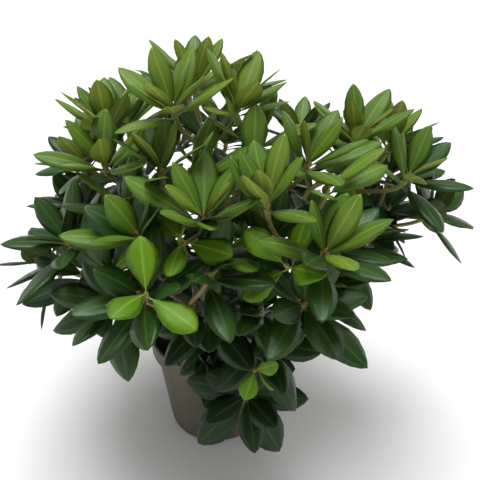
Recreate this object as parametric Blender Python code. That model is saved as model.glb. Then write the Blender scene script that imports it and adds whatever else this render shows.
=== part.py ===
# Potted rhododendron, in metres with +Z up.
# The origin is the centre of the pot's flat underside, and the front of the plant faces -Y.

import math
import random

import bmesh
import bpy
import numpy as np
from mathutils.bvhtree import BVHTree

# Clearance kept where one piece rests on or grows from another.
GAP = 0.0003

# The pot is a nursery container of about seven litres, with a band round its mouth.
POT_HEIGHT = 0.200
BAND_HEIGHT = 0.0306
BAND_RADIUS = 0.1226
MOUTH_RADIUS = 0.1178
NECK_RADIUS = 0.1137
BASE_RADIUS = 0.0908
POT_WALL = 0.0026
POT_FLOOR = 0.0032
FOOT_BEVEL = 0.007
LIP_ROUND = 0.0016
BAND_DRAFT = 0.0012
BAND_WALL = 0.0036
BAND_FOOT = 0.0020
BAND_STEP = 0.0045
FLOOR_ROUND = 0.006
POT_SEGMENTS = 36
DRAIN_HOLES = 5
DRAIN_RADIUS = 0.006
DRAIN_CIRCLE = 0.070
DRAIN_SEGMENTS = 8

# The compost fills the pot to below its mouth and rises a little towards the trunk.
SOIL_EDGE = 0.181
SOIL_MOUND = 0.005
SOIL_RINGS = 2
LEVEL_MARGIN = 0.004

# The trunk is short, leans a little and flares at the soil.
TRUNK_TOP = (0.014, 0.004, 0.330)
TRUNK_RADIUS = 0.0150
TRUNK_TIP_RADIUS = 0.0105
FLARE = 0.0090
FLARE_HEIGHT = 0.011
FLARE_LOBES = 5
FLARE_LOBE_SHARE = 0.35
FLARE_STEPS = (0.0, 0.004, 0.009, 0.016)
FLARE_TOP = 0.022
TRUNK_TIP_SHIFT = 0.01
TRUNK_SIDES = 15
TRUNK_RINGS = 10

# Boughs and twigs taper between these radii. A bough leaves its parent more across than along.
BOUGH_SIDES = 6
BOUGH_RINGS = 7
BOUGH_ACROSS = 0.85
BOUGH_ALONG = 0.55
BOUGH_TAPER = 0.92
MAIN_BOUGH_RADIUS = 0.0082
BOUGH_TIP_RADIUS = 0.0038
FORK_SHARE = 0.76
SEAT_MARGIN = 0.00036
SHOOT_RADIUS = 0.0034
STEM_RADIUS = 0.0039
WHORL_RADIUS = 0.0060
BUD_TIP_RADIUS = 0.0023
BUD_LENGTH = 0.013
WHORL_LENGTH = 0.014
TWIG_SIDES = 3

# Each mass faces away from the crown's heart, lifted towards the light. Its shoots lean out
# from the fork, and the higher they stand, the more upright they are.
UP = np.array([0, 0, 1.0])
HEART = (0.02, 0.0, 0.30)
LIFT = 0.35
STEM_LENGTH = 0.030
FORK_DEPTH = 0.072
FORK_OVERLAP = 0.002
SPREAD = {1: 0.0, 2: 0.044, 3: 0.054}
SPREAD_RANGE = (0.88, 1.12)
TURN_JITTER = 9
DEPTH_JITTER = 0.012
SHOOT_LEAN = 0.55
SHOOT_START_LEAN = 0.9
LOW_UPRIGHT = 0.25
HIGH_UPRIGHT = 1.8
LOW_HEIGHT = 0.40
HIGH_HEIGHT = 0.58

# Leaves spiral up each whorl, from wide old ones to steep young ones. They open wider in the
# low whorls, and close up in the high ones.
LEAVES = 10
LEAF_TURN = math.radians(137.5)
LEAF_LENGTH = 0.108
LEAF_SLIMNESS = 0.35
LEAF_THICKNESS = 0.0026
LEAF_BEND = math.radians(24)
OLD_LEAF_ANGLE = math.radians(84)
YOUNG_LEAF_ANGLE = math.radians(24)
LEAST_LEAF_ANGLE = 0.2
LOW_OPENING = 1.08
HIGH_OPENING = 0.72
LEAF_ROOT = 0.0022
LEAF_WIDEST = 0.54
LEAF_CLEARANCE = 0.0012
TURN_RANGE = (-0.1, 0.1)
ANGLE_RANGE = (-0.12, 0.12)
OLD_LENGTH = 1.04
LENGTH_LOSS = 0.22
LENGTH_RANGE = (0.9, 1.08)
WIDTH_RANGE = (0.92, 1.1)
BEND_RANGE = (0.6, 1.5)
ROOTS_SHARE = 0.8

# A leaf's upper side looks along its whorl, up to the light and a little inward.
LOOK_AHEAD = 0.7
LOOK_UP = 0.3
LOOK_INWARD = 0.2

# A leaf that finds no room is tried again with these changes, and tested as this thick.
LEAF_TRIES = 7
TRY_TURN = 0.07
TRY_RISE = 0.09
TRY_SHORTER = 0.03
TEST_DEPTH = 0.006
BLADE_DEPTH = 0.004
BLADE_START = 0.3
MASS_OVERLAP = 0.02
GROUND_CLEARANCE = 0.03

# Directions that no limb and no shoot points along, from which rings and leaves are turned.
RING_HINT = np.array([0.31, 0.95, 0.05])
WHORL_HINT = np.array([0.2, 0.1, 1.0])

# Base colour and roughness of each material.
FINISHES = {
    "pot_plastic": ((0.10, 0.088, 0.072), 0.6),
    "compost": ((0.028, 0.018, 0.012), 0.95),
    "bark": ((0.16, 0.105, 0.065), 0.85),
    "foliage": ((0.045, 0.10, 0.022), 0.45),
}

# Each mass: the limb that its bough leaves and how far along, then the place of the mass as
# an azimuth in degrees from +X, a reach from the pot's axis and a height, then its shoots,
# the turn of the first one in degrees from straight up, and the seed of its rule.
MASSES = {
    "top": ("trunk", 1.00, -94, 0.118, 0.677, 3, 30, 71),
    "left_high": ("trunk", 0.88, -137, 0.200, 0.620, 2, 60, 79),
    "left_low": ("trunk", 0.48, -109, 0.258, 0.472, 3, 30, 99),
    "front_low": ("trunk", 0.20, -81, 0.265, 0.392, 2, 60, 94),
    "right_top": ("trunk", 0.84, -16, 0.275, 0.582, 3, 30, 47),
    "right_mid": ("trunk", 0.64, -63, 0.275, 0.492, 3, 40, 37),
    "back_left_high": ("trunk", 0.72, 164, 0.180, 0.550, 3, -20, 62),
    "back_left_low": ("trunk", 0.28, 170, 0.240, 0.410, 3, 80, 86),
    "left_lowest": ("back_left_low", 0.40, -148, 0.252, 0.410, 2, 110, 11),
    "back_low": ("trunk", 0.24, 62, 0.250, 0.390, 3, 40, 3),
    "left_far": ("left_low", 0.72, -123, 0.270, 0.520, 3, -5, 31),
    "front": ("left_low", 0.72, -96, 0.320, 0.495, 2, 120, 87),
    "centre_left": ("front", 0.36, -100, 0.260, 0.570, 3, 20, 68),
    "centre_high": ("right_mid", 0.54, -84, 0.210, 0.610, 2, 110, 4),
    "right_shoulder": ("right_mid", 0.66, -60, 0.200, 0.618, 2, 35, 77),
    "centre_right": ("right_shoulder", 0.24, -65, 0.305, 0.570, 3, -50, 50),
    "right_far": ("right_top", 0.66, -2, 0.330, 0.480, 2, -10, 97),
    "front_right_low": ("right_mid", 0.60, -66, 0.270, 0.432, 2, 100, 63),
    "front_lowest": ("front_low", 0.42, -77, 0.244, 0.256, 1, 10, 50),
    "back_top": ("top", 0.18, 97, 0.120, 0.610, 3, -50, 4),
    "back_right_high": ("back_low", 0.54, 27, 0.235, 0.515, 3, 90, 25),
    "back": ("back_low", 0.70, 94, 0.255, 0.485, 3, 20, 1),
    "back_left": ("back_left_low", 0.48, 128, 0.270, 0.425, 2, -50, 54),
    "right_low": ("back_low", 0.18, 9, 0.300, 0.420, 2, 60, 34),
    "right_lowest": ("right_low", 0.40, -30, 0.255, 0.450, 2, 70, 46),
}


def clear_scene():
    for item in list(bpy.data.objects):
        bpy.data.objects.remove(item)


def material(name, colour, roughness):
    made = bpy.data.materials.new(name)
    made.use_nodes = True
    shader = made.node_tree.nodes["Principled BSDF"]
    shader.inputs["Base Color"].default_value = (*colour, 1)
    shader.inputs["Roughness"].default_value = roughness
    shader.inputs["Metallic"].default_value = 0
    made.diffuse_color = (*colour, 1)
    return made


def add_object(name, points, faces, surface, collection=None):
    mesh = bpy.data.meshes.new(name)
    mesh.from_pydata([tuple(point) for point in points], [], faces)
    mesh.materials.append(surface)
    bm = bmesh.new()
    bm.from_mesh(mesh)
    bmesh.ops.recalc_face_normals(bm, faces=bm.faces)
    bm.to_mesh(mesh)
    bm.free()
    made = bpy.data.objects.new(name, mesh)
    (collection or bpy.context.scene.collection).objects.link(made)
    return made


def smooth(made, degrees=40):
    made.data.shade_smooth()
    made.data.set_sharp_from_angle(angle=math.radians(degrees))


def apply_modifiers(made):
    graph = bpy.context.evaluated_depsgraph_get()
    graph.update()
    applied = bpy.data.meshes.new_from_object(made.evaluated_get(graph))
    made.modifiers.clear()
    made.data = applied


def unit(vector):
    return vector / np.linalg.norm(vector)


def across(vector, axis):
    # The part of a vector at right angles to an axis, at unit length.
    return unit(vector - np.dot(vector, axis) * axis)


def place(azimuth, reach, height):
    angle = math.radians(azimuth)
    return np.array([reach * math.cos(angle), reach * math.sin(angle), height])


def mass_place(row):
    return place(*row[2:5])


def curve(start, start_way, end, end_way, count):
    # A Hermite cubic whose two tangents are as long as the chord.
    t = np.linspace(0, 1, count)[:, None]
    span = np.linalg.norm(end - start)
    return (
        (2 * t**3 - 3 * t**2 + 1) * start
        + (t**3 - 2 * t**2 + t) * span * start_way
        + (3 * t**2 - 2 * t**3) * end
        + (t**3 - t**2) * span * end_way
    )


def tube(path, radii, sides, first=None):
    # Rings carried along the path without twist, closed by a flat cap at each end.
    # The first cap can face back along a direction of its own.
    tangents = np.gradient(path, axis=0)
    if first is not None:
        tangents[0] = first
    side = across(RING_HINT, unit(tangents[0]))
    points = []
    for centre, tangent, radius in zip(path, tangents, radii):
        tangent = unit(tangent)
        side = across(side, tangent)
        other = np.cross(tangent, side)
        for k in range(sides):
            angle = 2 * math.pi * k / sides
            points.append(centre + radius * (math.cos(angle) * side + math.sin(angle) * other))
    faces = [tuple(range(sides))[::-1], tuple(range(len(points) - sides, len(points)))]
    for ring in range(len(path) - 1):
        for k in range(sides):
            here = ring * sides + k
            after = ring * sides + (k + 1) % sides
            faces.append((here, after, after + sides, here + sides))
    return np.array(points), faces


class Room:
    # What later twigs and leaves keep clear of, each piece with the ball that bounds it.
    def __init__(self, start=None):
        self.trees = list(start.trees) if start else []
        self.centres = list(start.centres) if start else []
        self.reaches = list(start.reaches) if start else []

    def add(self, points, faces):
        centre = points.mean(axis=0)
        self.trees.append(BVHTree.FromPolygons(points.tolist(), faces))
        self.centres.append(centre)
        self.reaches.append(np.linalg.norm(points - centre, axis=1).max())

    def is_free(self, points, faces):
        if not self.trees:
            return True
        centre = points.mean(axis=0)
        reach = np.linalg.norm(points - centre, axis=1).max()
        distance = np.linalg.norm(np.array(self.centres) - centre, axis=1)
        tree = BVHTree.FromPolygons(points.tolist(), faces)
        near = np.nonzero(distance < reach + np.array(self.reaches))[0]
        return not any(tree.overlap(self.trees[k]) for k in near)


def turned(name, profile, surface):
    # A closed outline of (radius, height) points, spun once round the Z axis.
    bm = bmesh.new()
    line = [bm.verts.new((radius, 0, height)) for radius, height in profile]
    edges = [bm.edges.new(pair) for pair in zip(line, line[1:])]
    bmesh.ops.spin(
        bm,
        geom=line + edges,
        axis=(0, 0, 1),
        cent=(0, 0, 0),
        angle=2 * math.pi,
        steps=POT_SEGMENTS,
        use_merge=True,
    )
    bmesh.ops.remove_doubles(bm, verts=bm.verts, dist=1e-6)
    bmesh.ops.recalc_face_normals(bm, faces=bm.faces)
    mesh = bpy.data.meshes.new(name)
    bm.to_mesh(mesh)
    bm.free()
    mesh.materials.append(surface)
    made = bpy.data.objects.new(name, mesh)
    bpy.context.scene.collection.objects.link(made)
    return made


def wall_radius(height):
    # Outer radius of the tapered wall below the band.
    share = height / (POT_HEIGHT - BAND_HEIGHT)
    return BASE_RADIUS + (NECK_RADIUS - BASE_RADIUS) * share


def build_pot(surface):
    band_foot = POT_HEIGHT - BAND_HEIGHT
    profile = [(0, 0)]
    for step in range(4):
        angle = math.radians(30 * step)
        height = FOOT_BEVEL * (1 - math.cos(angle))
        profile.append((wall_radius(height) - FOOT_BEVEL * (1 - math.sin(angle)), height))
    profile += [
        (wall_radius(band_foot), band_foot),
        (BAND_RADIUS - BAND_DRAFT, band_foot + BAND_FOOT),
        (BAND_RADIUS, POT_HEIGHT - LIP_ROUND),
        (BAND_RADIUS - LIP_ROUND, POT_HEIGHT),
        (MOUTH_RADIUS + LIP_ROUND, POT_HEIGHT),
        (MOUTH_RADIUS, POT_HEIGHT - LIP_ROUND),
        (BAND_RADIUS - BAND_DRAFT - BAND_WALL, band_foot + BAND_STEP),
        (wall_radius(band_foot) - POT_WALL, band_foot - BAND_FOOT),
        (wall_radius(POT_FLOOR) - POT_WALL, POT_FLOOR + FLOOR_ROUND),
        (wall_radius(POT_FLOOR) - POT_WALL - FLOOR_ROUND, POT_FLOOR),
        (0, POT_FLOOR),
    ]
    pot = turned("pot", profile, surface)
    for hole in range(DRAIN_HOLES):
        angle = 2 * math.pi * (hole + 0.5) / DRAIN_HOLES
        bm = bmesh.new()
        bmesh.ops.create_cone(
            bm,
            cap_ends=True,
            segments=DRAIN_SEGMENTS,
            radius1=DRAIN_RADIUS,
            radius2=DRAIN_RADIUS,
            depth=4 * POT_FLOOR,
        )
        mesh = bpy.data.meshes.new("drain_cutter")
        bm.to_mesh(mesh)
        bm.free()
        cutter = bpy.data.objects.new("drain_cutter", mesh)
        cutter.location = (DRAIN_CIRCLE * math.cos(angle), DRAIN_CIRCLE * math.sin(angle), 0)
        cutter.hide_render = True
        cutter.display_type = "WIRE"
        bpy.context.scene.collection.objects.link(cutter)
        drain = pot.modifiers.new(f"drain_{hole + 1}", "BOOLEAN")
        drain.operation = "DIFFERENCE"
        drain.object = cutter
    smooth(pot, 30)
    return pot


def soil_height(radius):
    share = radius / MOUTH_RADIUS
    return SOIL_EDGE + SOIL_MOUND * (1 - share**2)


def build_soil(surface):
    inner = wall_radius(POT_FLOOR) - POT_WALL
    neck = POT_HEIGHT - BAND_HEIGHT
    edge = BAND_RADIUS - BAND_DRAFT - BAND_WALL - 2 * GAP
    profile = [
        (0, POT_FLOOR + GAP),
        (inner - FLOOR_ROUND - 2 * GAP, POT_FLOOR + GAP),
        (inner - 2 * GAP, POT_FLOOR + FLOOR_ROUND + GAP),
        (wall_radius(neck) - POT_WALL - 2 * GAP, neck - BAND_FOOT),
        (edge - GAP, neck + BAND_STEP + GAP),
        (edge - GAP, SOIL_EDGE),
    ]
    for ring in range(SOIL_RINGS):
        radius = edge * (1 - (ring + 1) / (SOIL_RINGS + 1))
        profile.append((radius, soil_height(radius)))
    # The mound is level under the trunk's foot.
    foot = TRUNK_RADIUS + FLARE + LEVEL_MARGIN
    profile = [point for point in profile if point[0] == 0 or point[0] > foot]
    profile += [(foot, soil_height(foot)), (0, soil_height(foot))]
    soil = turned("soil", profile, surface)
    smooth(soil, 50)
    return soil


def trunk_path():
    foot = np.array([0, 0, soil_height(TRUNK_RADIUS + FLARE + LEVEL_MARGIN) + GAP])
    top = np.array(TRUNK_TOP)
    lean = unit(top - foot + np.array([TRUNK_TIP_SHIFT, 0, 0]))
    return curve(foot, UP, top, lean, TRUNK_RINGS)


def trunk_shape(margin=0.0):
    # The flare dies away as exp(-height / FLARE_HEIGHT), in lobes that run out into roots.
    path = trunk_path()
    rise = path[:, 2] - path[0, 2]
    feet = [[0, 0, path[0, 2] + step] for step in FLARE_STEPS]
    path = np.concatenate([feet, path[rise > FLARE_TOP]])
    rise = path[:, 2] - path[0, 2]
    radii = TRUNK_RADIUS + (TRUNK_TIP_RADIUS - TRUNK_RADIUS) * rise / rise[-1]
    points, faces = tube(path, radii, TRUNK_SIDES)
    rings = points.reshape(len(path), TRUNK_SIDES, 3)
    angles = np.arange(TRUNK_SIDES) * 2 * math.pi / TRUNK_SIDES
    for ring, centre, height, radius in zip(rings, path, rise, radii):
        flare = FLARE * math.exp(-height / FLARE_HEIGHT)
        lobes = 1 - FLARE_LOBE_SHARE + FLARE_LOBE_SHARE * np.cos(FLARE_LOBES * angles)
        stretch = 1 + (flare * lobes + margin) / radius
        ring[:] = centre + (ring - centre) * stretch[:, None]
        if height == 0:
            ring[:, 2] = centre[2]
    return points, faces


def mass_axis(row):
    return unit(unit(mass_place(row) - np.array(HEART)) + LIFT * UP)


def bough_path(row, parent):
    # A limb that leaves its parent's axis sideways and ends facing its mass.
    axis = mass_axis(row)
    end = mass_place(row) - (FORK_DEPTH + STEM_LENGTH) * axis
    where = row[1] * (len(parent) - 1)
    low = min(int(where), len(parent) - 2)
    along = unit(parent[low + 1] - parent[low])
    start = parent[low] + (parent[low + 1] - parent[low]) * (where - low)
    if row[1] == 1:
        return curve(start + GAP * along, along, end, axis, BOUGH_RINGS)
    way = unit(BOUGH_ACROSS * across(end - start, along) + BOUGH_ALONG * along)
    return curve(start, way, end, axis, BOUGH_RINGS)


def bough_radii(row, parent_radii):
    # A side bough is as thick at its foot as FORK_SHARE of the limb that it leaves.
    here = np.interp(row[1], np.linspace(0, 1, len(parent_radii)), parent_radii)
    base = MAIN_BOUGH_RADIUS if row[0] == "trunk" else FORK_SHARE * here
    return np.linspace(base, min(BOUGH_TIP_RADIUS, BOUGH_TAPER * base), BOUGH_RINGS)


def lay_limbs():
    # Paths and radii of the trunk and of every bough, each after the limb that it leaves.
    path = trunk_path()
    share = (path[:, 2] - path[0, 2]) / np.ptp(path[:, 2])
    limbs = {"trunk": (path, TRUNK_RADIUS + (TRUNK_TIP_RADIUS - TRUNK_RADIUS) * share)}
    for name, row in MASSES.items():
        parent_path, parent_radii = limbs[row[0]]
        limbs[name] = (bough_path(row, parent_path), bough_radii(row, parent_radii))
    return limbs


def build_bough(name, limbs, surface):
    # The foot of a bough is cut to the round of the limb that it leaves.
    parent, where = MASSES[name][:2]
    path, radii = limbs[parent]
    facing = unit(path[-1] - path[-2]) if where == 1 else None
    points, faces = tube(*limbs[name], BOUGH_SIDES, facing)
    bough = add_object(f"bough_{name}", points, faces, surface)
    if where < 1:
        if parent == "trunk":
            shape = trunk_shape(SEAT_MARGIN)
        else:
            shape = tube(path, radii + SEAT_MARGIN, BOUGH_SIDES)
        cutter = add_object(f"cutter_{name}", *shape, surface)
        cutter.hide_render = True
        cutter.display_type = "WIRE"
        cut = bough.modifiers.new("seat", "BOOLEAN")
        cut.operation = "DIFFERENCE"
        cut.object = cutter
    smooth(bough)
    return points, faces


def lay_twigs(row, bough, rng):
    # One stem leaves the bough's tip and forks into shoots, each of which ends in a whorl.
    centre = mass_place(row)
    axis = mass_axis(row)
    up = across(UP, axis)
    side = np.cross(axis, up)
    shoots = row[5]
    forked = shoots > 1
    fork = centre - FORK_DEPTH * axis
    heading = unit(bough[-1] - bough[-2])
    stem = curve(bough[-1] + GAP * heading, heading, fork + FORK_OVERLAP * axis, axis, 3)
    whorls = []
    for k in range(shoots):
        angle = math.radians(row[6] + rng.uniform(-TURN_JITTER, TURN_JITTER)) + 2 * math.pi * k / shoots
        outward = math.cos(angle) * up + math.sin(angle) * side
        spread = SPREAD[shoots] * rng.uniform(*SPREAD_RANGE)
        end = centre + spread * outward + rng.uniform(-DEPTH_JITTER, DEPTH_JITTER) * axis
        upright = np.interp(end[2], (LOW_HEIGHT, HIGH_HEIGHT), (LOW_UPRIGHT, HIGH_UPRIGHT))
        facing = unit(axis + SHOOT_LEAN * outward * forked + upright * UP)
        way = unit(axis + SHOOT_START_LEAN * outward * forked)
        path = curve(fork - FORK_OVERLAP * axis, way, end, facing, 4)
        whorls.append((path, facing, end))
    return stem, whorls


def shoot_tube(path, facing):
    # The shoot thickens where the leaves stand and ends in a bud.
    half = WHORL_LENGTH / 2 * facing
    line = np.concatenate([path[:-1], [path[-1] - half, path[-1] + half + BUD_LENGTH * facing]])
    radii = [SHOOT_RADIUS] * (len(path) - 1) + [WHORL_RADIUS, BUD_TIP_RADIUS]
    return tube(line, radii, TWIG_SIDES)


def leaf_solid(root, forward, normal, length, width, bend, thickness, start=0.0):
    # The midline is an arc, root + length / bend * (sin(bend u) forward - (1 - cos(bend u)) normal).
    # The blade is widest past its middle, with a ridge above and a fold below.
    side = np.cross(forward, normal)

    def line(u):
        return root + length / bend * (math.sin(bend * u) * forward - (1 - math.cos(bend * u)) * normal)

    widest = line(LEAF_WIDEST)
    points = [
        line(start),
        widest + width / 2 * side,
        line(1),
        widest - width / 2 * side,
        widest + thickness * normal,
    ]
    faces = [(0, 1, 4), (1, 2, 4), (2, 3, 4), (3, 0, 4), (0, 3, 1), (1, 3, 2)]
    return np.array(points), faces


def grow_leaves(facing, end, rng, room, centres, own):
    # A leaf that meets a limb, another leaf or the ground, or whose middle lies nearer to
    # another mass, is raised and turned a little, and left out if that doesn't free it.
    up = across(WHORL_HINT, facing)
    side = np.cross(facing, up)
    opening = np.interp(end[2], (LOW_HEIGHT, HIGH_HEIGHT), (LOW_OPENING, HIGH_OPENING))
    first = rng.uniform(0, 2 * math.pi)
    leaves = []
    blades = Room()
    for k in range(LEAVES):
        share = k / (LEAVES - 1)
        turn = first + k * LEAF_TURN + rng.uniform(*TURN_RANGE)
        angle = OLD_LEAF_ANGLE + (YOUNG_LEAF_ANGLE - OLD_LEAF_ANGLE) * share
        angle = opening * angle + rng.uniform(*ANGLE_RANGE)
        length = LEAF_LENGTH * (OLD_LENGTH - LENGTH_LOSS * share) * rng.uniform(*LENGTH_RANGE)
        width = LEAF_SLIMNESS * length * rng.uniform(*WIDTH_RANGE)
        bend = LEAF_BEND * opening * rng.uniform(*BEND_RANGE)
        height = WHORL_LENGTH * (share - 0.5) * ROOTS_SHARE
        for attempt in range(LEAF_TRIES):
            shift = attempt * (-1) ** attempt * TRY_TURN
            rise = max(angle - TRY_RISE * attempt, LEAST_LEAF_ANGLE)
            outward = math.cos(turn + shift) * up + math.sin(turn + shift) * side
            forward = math.sin(rise) * outward + math.cos(rise) * facing
            normal = across(LOOK_AHEAD * facing + LOOK_UP * UP - LOOK_INWARD * outward, forward)
            root = end + height * facing - LEAF_ROOT * outward
            size = length * (1 - TRY_SHORTER * attempt)
            wide = width + 2 * LEAF_CLEARANCE
            fat = leaf_solid(root, forward, normal, size, wide, bend, TEST_DEPTH)
            blade = leaf_solid(root, forward, normal, size, width, bend, BLADE_DEPTH, BLADE_START)
            middle = fat[0][:4].mean(axis=0)
            distances = np.linalg.norm(centres - middle, axis=1)
            inside = distances[own] <= distances.min() + MASS_OVERLAP
            if not inside or fat[0][:, 2].min() < GROUND_CLEARANCE:
                continue
            if room.is_free(*fat) and blades.is_free(*blade):
                blades.add(*blade)
                leaves.append((root, forward, normal, size, width, bend))
                break
    return leaves


def fuse(name, solids, surface):
    # The stem takes the shoots and the leaves into itself.
    group = bpy.data.collections.new(name)
    bpy.context.scene.collection.children.link(group)
    mass = add_object(name, *solids[0], surface)
    for points, faces in solids[1:]:
        add_object("joined", points, faces, surface, group)
    join = mass.modifiers.new("join", "BOOLEAN")
    join.operation = "UNION"
    join.operand_type = "COLLECTION"
    join.collection = group
    join.solver = "MANIFOLD"
    apply_modifiers(mass)
    for item in list(group.objects):
        bpy.data.objects.remove(item)
    bpy.data.collections.remove(group)


def main():
    clear_scene()
    plastic, compost, bark, foliage = [material(name, *look) for name, look in FINISHES.items()]
    build_pot(plastic)
    build_soil(compost)
    limbs = lay_limbs()
    room = Room()
    room.add(*trunk_shape())
    smooth(add_object("trunk", *trunk_shape(), bark))
    for name in MASSES:
        room.add(*build_bough(name, limbs, bark))
    for name in ("pot", "soil"):
        mesh = bpy.data.objects[name].data
        points = np.array([tuple(vertex.co) for vertex in mesh.vertices])
        room.add(points, [tuple(face.vertices) for face in mesh.polygons])
    centres = np.array([mass_place(row) for row in MASSES.values()])
    twigs = {}
    for name, row in MASSES.items():
        rng = random.Random(row[7])
        path, radii = limbs[name]
        stem, whorls = lay_twigs(row, path, rng)
        heading = unit(path[-1] - path[-2])
        stem_tube = tube(stem, [radii[-1], radii[-1], STEM_RADIUS], TWIG_SIDES, heading)
        tubes = [stem_tube] + [shoot_tube(path, facing) for path, facing, end in whorls]
        twigs[name] = (rng, whorls, tubes)

    # Leaves keep clear of every other whorl's shoot, so all the shoots are laid first.
    for own, (name, (rng, whorls, tubes)) in enumerate(twigs.items()):
        solids = list(tubes)
        for number, (path, facing, end) in enumerate(whorls):
            around = Room(room)
            for other, (other_rng, other_whorls, other_tubes) in twigs.items():
                for index, shape in enumerate(other_tubes):
                    if (other, index) != (name, number + 1):
                        around.add(*shape)
            for leaf in grow_leaves(facing, end, rng, around, centres, own):
                solids.append(leaf_solid(*leaf, LEAF_THICKNESS))
                room.add(*leaf_solid(*leaf, LEAF_THICKNESS))
        fuse(f"foliage_{name}", solids, foliage)


if __name__ == "__main__":
    main()
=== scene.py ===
import math
import random
from itertools import combinations

import bpy
import numpy as np
from mathutils.bvhtree import BVHTree
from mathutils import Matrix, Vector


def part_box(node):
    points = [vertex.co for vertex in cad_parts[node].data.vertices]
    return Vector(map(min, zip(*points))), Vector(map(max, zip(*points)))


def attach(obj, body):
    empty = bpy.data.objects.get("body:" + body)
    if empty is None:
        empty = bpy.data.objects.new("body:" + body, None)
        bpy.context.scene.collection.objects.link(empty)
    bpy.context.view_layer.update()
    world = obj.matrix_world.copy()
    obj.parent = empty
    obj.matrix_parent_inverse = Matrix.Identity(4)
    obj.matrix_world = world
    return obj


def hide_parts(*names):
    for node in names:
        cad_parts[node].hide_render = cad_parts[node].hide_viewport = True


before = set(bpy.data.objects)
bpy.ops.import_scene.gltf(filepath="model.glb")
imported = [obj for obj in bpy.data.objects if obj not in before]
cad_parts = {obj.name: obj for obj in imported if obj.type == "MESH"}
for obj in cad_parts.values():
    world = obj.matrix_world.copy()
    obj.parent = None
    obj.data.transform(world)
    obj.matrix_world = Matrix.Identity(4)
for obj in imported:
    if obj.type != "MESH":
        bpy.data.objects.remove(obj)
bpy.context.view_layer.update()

# Looks of the potted rhododendron, in metres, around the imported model.
print("frame loaded")


# Nodes of a material


class Signal:
    # A socket's value; arithmetic on it adds a Math node.
    def __init__(self, paint, socket):
        self.paint = paint
        self.socket = socket

    def maths(self, operation, first, second=0.0):
        return self.paint.node("ShaderNodeMath", {"operation": operation}, {0: first, 1: second})

    def __add__(self, other):
        return self.maths("ADD", self, other)

    def __sub__(self, other):
        return self.maths("SUBTRACT", self, other)

    def __rsub__(self, other):
        return self.maths("SUBTRACT", other, self)

    def __mul__(self, other):
        return self.maths("MULTIPLY", self, other)

    def __abs__(self):
        return self.maths("ABSOLUTE", self)

    def sine(self):
        return self.maths("SINE", self)

    __radd__ = __add__
    __rmul__ = __mul__


class Paint:
    # A material, with one method that adds any node.
    def __init__(self, name, **fixed):
        self.material = bpy.data.materials.new(name)
        self.material.use_nodes = True
        self.tree = self.material.node_tree
        self.shader = self.tree.nodes["Principled BSDF"]
        self.finish(**fixed)

    def finish(self, **values):
        for socket, value in values.items():
            self.feed(self.shader.inputs[socket.replace("_", " ")], value)
        return self.material

    def feed(self, socket, value):
        if isinstance(value, Signal):
            self.tree.links.new(value.socket, socket)
        elif isinstance(value, tuple) and len(value) == 3 and socket.type == "RGBA":
            socket.default_value = (*value, 1)
        else:
            socket.default_value = value

    def node(self, kind, settings, inputs, output=0):
        made = self.tree.nodes.new(kind)
        for key, value in settings.items():
            setattr(made, key, value)
        for key, value in inputs.items():
            self.feed(made.inputs[key], value)
        return Signal(self, made.outputs[output])

    def place(self):
        return self.node("ShaderNodeTexCoord", {}, {}, "Object")

    def part(self, vector, axis):
        return self.node("ShaderNodeSeparateXYZ", {}, {"Vector": vector}, axis)

    def own(self, axis):
        # The leaf's own map: X runs across it from 0 to 1, and Y along it.
        return self.part(self.node("ShaderNodeUVMap", {"uv_map": "own"}, {}), axis)

    def noise(self, where, scale, detail=2.0, rough=0.5):
        inputs = {"Vector": where, "Scale": scale, "Detail": detail, "Roughness": rough}
        return self.node("ShaderNodeTexNoise", {}, inputs)

    def band(self, value, low, high, least=0.0, most=1.0):
        # Runs smoothly from least to most while the value runs from low to high.
        inputs = {"Value": value, "From Min": low, "From Max": high}
        inputs |= {"To Min": least, "To Max": most}
        return self.node("ShaderNodeMapRange", {"interpolation_type": "SMOOTHSTEP"}, inputs)

    def blend(self, share, first, second):
        inputs = {0: share, 6: first, 7: second}
        return self.node("ShaderNodeMix", {"data_type": "RGBA"}, inputs, 2)

    def bump(self, height, depth, strength):
        inputs = {"Height": height, "Distance": depth, "Strength": strength}
        return self.node("ShaderNodeBump", {}, inputs, "Normal")


# Meshes from arrays


def newObject(name, data):
    made = bpy.data.objects.new(name, data)
    bpy.context.scene.collection.objects.link(made)
    return made


def makePiece(name, points, faces, paints, own=None, faceSlots=None, sharp=None):
    # faces is a list of arrays, one for each count of corners; own holds a (u, v) for each point;
    # edges that turn by more than sharp degrees stay crisp.
    mesh = bpy.data.meshes.new(name)
    mesh.vertices.add(len(points))
    mesh.vertices.foreach_set("co", np.asarray(points, np.float32).ravel())
    corners = np.concatenate([np.asarray(group, np.int32).ravel() for group in faces])
    sizes = np.concatenate([np.full(len(group), np.shape(group)[1], np.int32) for group in faces])
    starts = np.concatenate([[0], np.cumsum(sizes)[:-1]]).astype(np.int32)
    mesh.loops.add(len(corners))
    mesh.loops.foreach_set("vertex_index", corners)
    mesh.polygons.add(len(sizes))
    mesh.polygons.foreach_set("loop_start", starts)
    for paint in paints:
        mesh.materials.append(paint)
    if faceSlots is not None:
        mesh.polygons.foreach_set("material_index", np.asarray(faceSlots, np.int32))
    mesh.update(calc_edges=True)
    if own is not None:
        layer = mesh.uv_layers.new(name="own")
        layer.data.foreach_set("uv", np.asarray(own, np.float32)[corners].ravel())
    mesh.validate()
    mesh.shade_smooth()
    if sharp:
        mesh.set_sharp_from_angle(angle=math.radians(sharp))
    return newObject(name, mesh)


def dress(piece, slot, *replaced):
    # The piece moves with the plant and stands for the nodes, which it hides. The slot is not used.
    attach(piece, "root")
    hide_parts(*replaced)


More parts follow.
